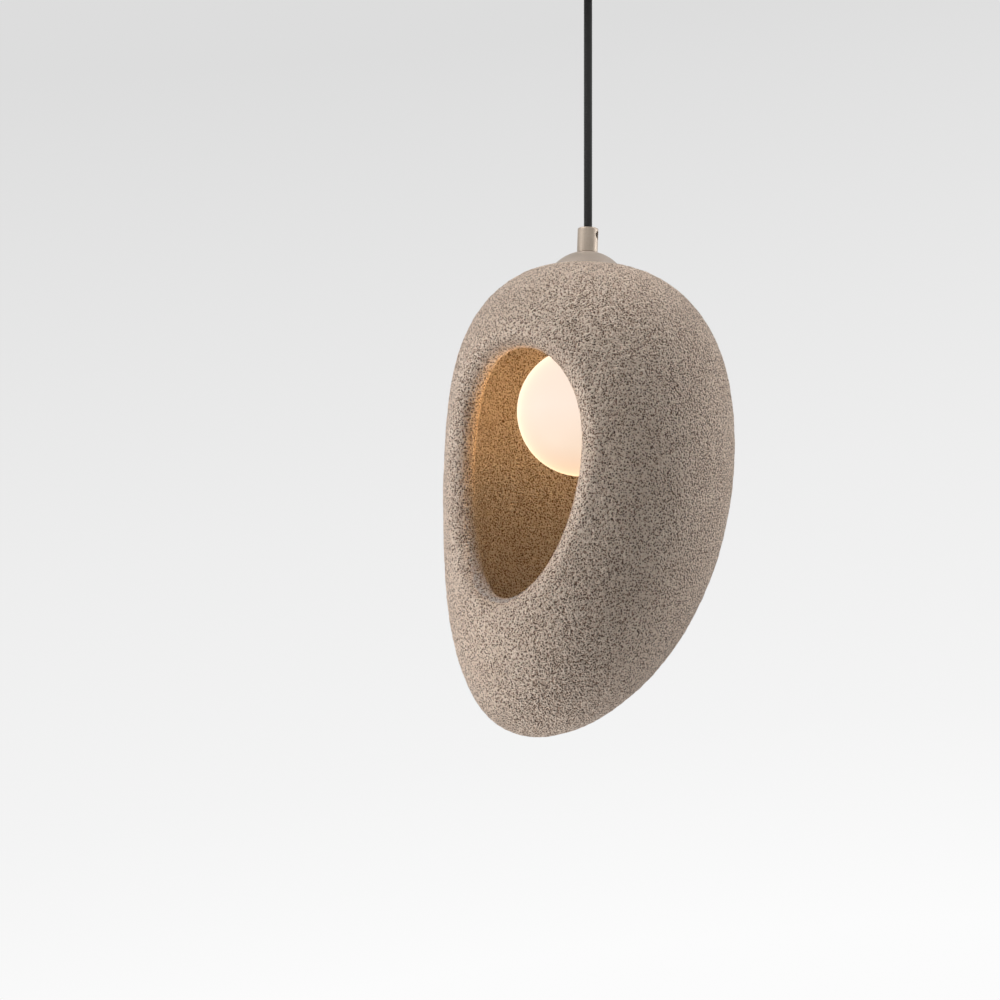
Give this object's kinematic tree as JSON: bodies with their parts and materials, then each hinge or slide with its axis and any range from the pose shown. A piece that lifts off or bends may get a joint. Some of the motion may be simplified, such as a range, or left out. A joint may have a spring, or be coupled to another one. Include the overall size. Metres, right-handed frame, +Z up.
{
  "type": "pendant ceiling light",
  "caption": "Pebble-shaped pendant light: a grained shade with a scooped oval opening and an opal globe inside, hung on a textile cord from a ceiling canopy.",
  "frame": {"origin": "on the ceiling plane, midway between the bracket's two slotted holes and above the middle of the cord", "axes": "+Z up, -Y towards the shade's opening, +X to the right of somebody who looks along +Y into the opening"},
  "size_m": [0.2282, 0.2203, 0.6189],
  "materials": {
    "warm_metal": "satin powder coat, warm beige",
    "bush_metal": "satin lacquered, warm beige",
    "steel": "zinc plated",
    "brass": "bare",
    "shade": "mineral-filled resin, coarse sandy grain",
    "cord": "black braid",
    "block": "white nylon",
    "rubber": "soft washer",
    "ceramic": "glazed",
    "opal": "opal, etched",
    "bulb_glass": "frosted",
    "bulb_base": "unglazed",
    "board": "circuit board with phosphor strips",
    "live": "brown insulation",
    "neutral": "blue insulation",
    "earth": "green and yellow insulation"
  },
  "bodies": {
    "ceiling": {"ceiling_bracket": "steel", "canopy": "warm_metal", "canopy_screws": "warm_metal", "cord_bush": "bush_metal", "bush_nut": "steel", "bush_screw": "block", "cord_tail": "cord", "canopy_lead_live": "live", "canopy_lead_neutral": "neutral", "canopy_lead_earth": "earth", "terminal_block": "block", "terminal_screws": "brass", "block_screw": "steel", "earth_screw": "brass"},
    "cord": {"cord": "cord"},
    "grip": {"cord_grip": "warm_metal", "grip_screw": "steel", "cord_stub": "cord"},
    "lamp": {"threaded_tube": "brass", "dome_cap": "warm_metal", "cap_spacer": "brass", "cap_washer": "rubber", "shade": "shade", "clamp_plate": "steel", "clamp_nut": "brass", "holder_cup": "warm_metal", "holder_nut": "brass", "earth_tag": "brass", "socket_bridge": "steel", "socket_body": "ceramic", "socket_contacts": "brass", "socket_screws": "steel", "lamp_lead_live": "live", "lamp_lead_neutral": "neutral", "lamp_lead_earth": "earth", "globe_ring": "warm_metal", "ring_screws": "warm_metal"},
    "globe": {"globe": "opal"},
    "bulb": {"bulb_pins": "steel", "bulb_base": "bulb_base", "bulb_board": "board", "bulb_envelope": "bulb_glass"}
  },
  "joints": [
    {"name": "cord_swing", "type": "hinge", "parent": "ceiling", "child": "cord", "pos_m": [0, 0, -0.033], "axis": [1, 0, 0], "range_deg": [-25, 25]},
    {"name": "grip_tilt", "type": "hinge", "parent": "cord", "child": "grip", "pos_m": [0, 0, -0.2347], "axis": [0, 1, 0], "range_deg": [-15, 15]},
    {"name": "lamp_turn", "type": "hinge", "parent": "grip", "child": "lamp", "pos_m": [0, 0, -0.2347], "axis": [0, 0.0558, 0.9984], "range_deg": [-170, 170]},
    {"name": "globe_unscrew", "type": "hinge", "parent": "lamp", "child": "globe", "pos_m": [0, -0.00787, -0.37548], "axis": [0, 0.0558, 0.9984], "range_deg": [0, 350]},
    {"name": "bulb_pull", "type": "slide", "parent": "lamp", "child": "bulb", "axis": [0, -0.0558, -0.9984], "range_m": [0, 0.014]}
  ]
}
